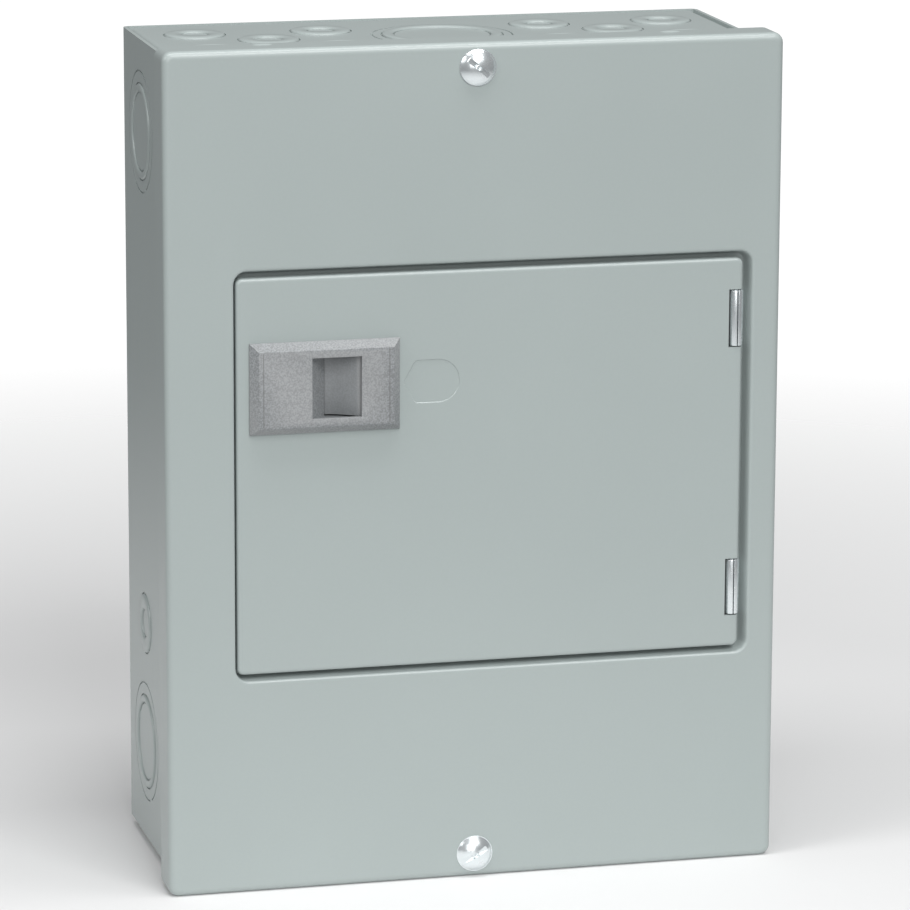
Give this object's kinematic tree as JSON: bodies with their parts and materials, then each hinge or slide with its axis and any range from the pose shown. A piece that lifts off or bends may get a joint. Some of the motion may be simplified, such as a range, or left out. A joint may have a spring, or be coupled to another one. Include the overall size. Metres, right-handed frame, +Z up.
{
  "type": "residential load center",
  "caption": "Wall-mounted electrical panel: painted steel box with knockouts, screwed cover, hinged latched door, bus, lugs, wire bars and plug-on breakers.",
  "frame": {"origin": "centre of the back face that lies on the wall", "axes": "+X to the viewer's right, +Y into the wall, +Z up"},
  "size_m": [0.226, 0.1004, 0.3065],
  "materials": {
    "painted_steel": "light grey-green baked enamel over sheet steel, satin",
    "zinc_steel": "bright zinc plate",
    "latch_plastic": "mid grey moulded plastic with a fine spark texture",
    "card": "uncoated card with ruled lines",
    "galvanised_steel": "spangled hot-dip galvanised",
    "insulator": "black moulded thermoset",
    "tinned_bus": "dull tin plate",
    "bar_alloy": "extruded aluminium, light saw marks",
    "green_screw": "green dyed plating",
    "breaker_plastic": "black moulded thermoset, fine grain",
    "handle_plastic": "black moulded nylon, worn shiny"
  },
  "bodies": {
    "enclosure": {"enclosure_wrap": "painted_steel", "top_endwall": "painted_steel", "bottom_endwall": "painted_steel", "cover": "painted_steel", "cover_screws": "zinc_steel", "upper_hinge_strap": "zinc_steel", "lower_hinge_strap": "zinc_steel", "mounting_pan": "galvanised_steel", "pan_screws": "zinc_steel", "bus_base": "insulator", "bus_bar_a": "tinned_bus", "bus_bar_b": "tinned_bus", "bus_screws": "zinc_steel", "main_lug_a": "bar_alloy", "main_lug_b": "bar_alloy", "main_lug_screws": "bar_alloy", "neutral_bar": "bar_alloy", "neutral_supports": "insulator", "neutral_bar_screws": "zinc_steel", "neutral_lug": "bar_alloy", "neutral_lug_screw": "bar_alloy", "bonding_screw": "green_screw", "ground_bar": "bar_alloy", "ground_bar_screws": "zinc_steel", "ground_bar_fixings": "zinc_steel", "breaker_top_left_case": "breaker_plastic", "breaker_middle_left_case": "breaker_plastic", "breaker_bottom_left_case": "breaker_plastic", "two_pole_case": "breaker_plastic", "breaker_line_jaws": "tinned_bus", "breaker_terminal_screws": "zinc_steel", "filler_plate": "breaker_plastic"},
    "door": {"door": "painted_steel", "upper_hinge_pin": "zinc_steel", "lower_hinge_pin": "zinc_steel", "latch_plate": "latch_plastic", "latch_spring": "zinc_steel", "latch_retainer": "latch_plastic", "directory_card": "card"},
    "latch": {"latch_slide": "latch_plastic"},
    "top_left_handle": {"breaker_top_left_handle": "handle_plastic"},
    "middle_left_handle": {"breaker_middle_left_handle": "handle_plastic"},
    "bottom_left_handle": {"breaker_bottom_left_handle": "handle_plastic"},
    "two_pole_handle": {"two_pole_upper_handle": "handle_plastic", "two_pole_lower_handle": "handle_plastic", "handle_tie_pin": "zinc_steel"}
  },
  "joints": [
    {"name": "door_hinge", "type": "hinge", "parent": "enclosure", "child": "door", "pos_m": [0.09705, -0.0943, 0], "axis": [0, 0, 1], "range_deg": [0, 140]},
    {"name": "latch_slide", "type": "slide", "parent": "door", "child": "latch", "axis": [1, 0, 0], "range_m": [0, 0.0045], "stiffness_N_per_m": 300, "deforming": ["latch_spring"]},
    {"name": "top_left_switch", "type": "hinge", "parent": "enclosure", "child": "top_left_handle", "pos_m": [-0.028, -0.071, 0.0254], "axis": [0, 0, -1], "range_deg": [0, 40]},
    {"name": "middle_left_switch", "type": "hinge", "parent": "enclosure", "child": "middle_left_handle", "pos_m": [-0.028, -0.071, 0], "axis": [0, 0, -1], "range_deg": [0, 40]},
    {"name": "bottom_left_switch", "type": "hinge", "parent": "enclosure", "child": "bottom_left_handle", "pos_m": [-0.028, -0.071, -0.0254], "axis": [0, 0, -1], "range_deg": [0, 40]},
    {"name": "two_pole_switch", "type": "hinge", "parent": "enclosure", "child": "two_pole_handle", "pos_m": [0.028, -0.071, 0.0127], "axis": [0, 0, 1], "range_deg": [0, 40]}
  ]
}
